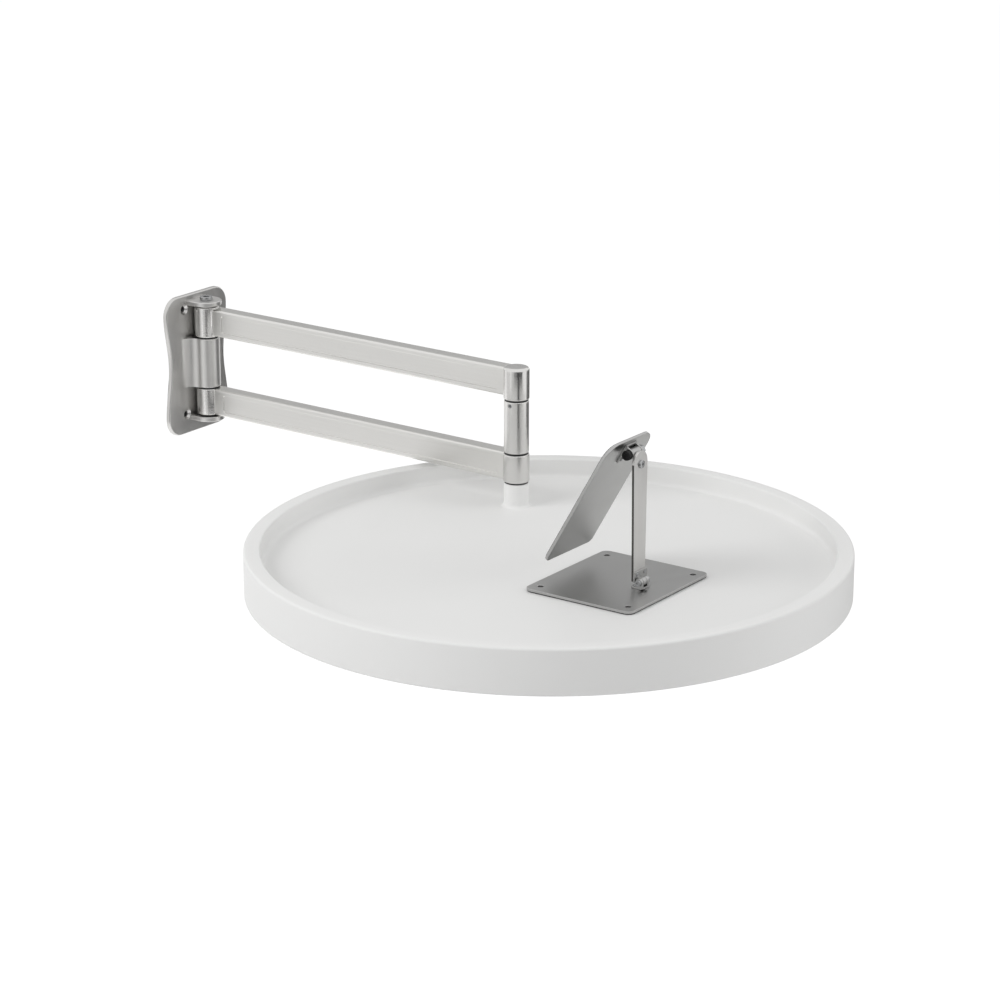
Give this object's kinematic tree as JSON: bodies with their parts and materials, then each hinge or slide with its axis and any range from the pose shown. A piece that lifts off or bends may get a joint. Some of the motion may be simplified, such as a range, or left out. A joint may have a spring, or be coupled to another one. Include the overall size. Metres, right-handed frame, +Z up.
{
  "type": "wall-mounted swivel table",
  "caption": "Round tray table on a pair of swinging wall arms, with a small tilting stand that holds a flat device on the tray.",
  "frame": {"origin": "centre of the wall bolt pattern, on the wall face of the bracket", "axes": "+Z up, the wall is the plane Y = 0, the room is towards -Y and +X is to the right of someone who faces the wall"},
  "size_m": [0.46, 0.6735, 0.1448],
  "materials": {
    "cast_aluminium": "satin",
    "satin_aluminium": "satin",
    "turned_aluminium": "satin",
    "zinc_steel": "satin",
    "black_steel": "satin",
    "satin_steel": "satin",
    "brushed_steel": "brushed",
    "nickel_plate": "polished",
    "sintered_bronze": "satin",
    "black_nylon": "matte",
    "white_abs": "matte",
    "soft_rubber": "matte"
  },
  "bodies": {
    "bracket": {"wall_bracket": "cast_aluminium", "wall_pin": "zinc_steel", "wall_pin_clip": "black_steel", "wall_pivot_washers": "black_nylon"},
    "arms": {"upper_arm": "satin_aluminium", "lower_arm": "satin_aluminium", "wall_end_bushes": "sintered_bronze", "outer_end_bushes": "sintered_bronze"},
    "tray": {"pivot_shaft": "zinc_steel", "shaft_collar": "turned_aluminium", "collar_set_screw": "zinc_steel", "outer_pivot_washers": "black_nylon", "flange_screws": "zinc_steel", "tray_shell": "white_abs", "tray_base_cover": "white_abs", "cover_screw_set": "zinc_steel", "stand_base_plate": "satin_steel", "stand_base_pad": "soft_rubber", "foot_hinge_leaf": "satin_steel", "foot_leaf_rivets": "zinc_steel", "foot_hinge_screw": "zinc_steel", "foot_hinge_nut": "zinc_steel"},
    "stand_link": {"strap": "brushed_steel", "strap_hinge_leaf": "satin_steel", "strap_leaf_rivets": "zinc_steel", "top_hinge_barrel": "satin_steel", "strap_top_screw": "zinc_steel", "strap_top_nut": "zinc_steel"},
    "holder": {"holder_clevis": "satin_steel", "clevis_rivets": "zinc_steel", "top_hinge_screw": "black_steel", "top_hinge_nut": "zinc_steel", "holder_plate": "satin_steel", "holder_magnets": "nickel_plate", "holder_grip_pad": "soft_rubber"}
  },
  "joints": [
    {"name": "arm_swing", "type": "hinge", "parent": "bracket", "child": "arms", "pos_m": [0, -0.0145, 0], "axis": [0, 0, 1], "range_deg": [-45, 65]},
    {"name": "tray_swivel", "type": "hinge", "parent": "arms", "child": "tray", "pos_m": [-0.00801, -0.3424, 0], "axis": [0, 0, -1], "range_deg": [-165, 75]},
    {"name": "stand_tilt", "type": "hinge", "parent": "tray", "child": "stand_link", "pos_m": [-0.12063, -0.53802, -0.0589], "axis": [1, 0, 0], "range_deg": [-4, 50]},
    {"name": "holder_tilt", "type": "hinge", "parent": "stand_link", "child": "holder", "pos_m": [-0.12063, -0.52662, 0.0371], "axis": [1, 0, 0], "range_deg": [-8, 45]}
  ]
}
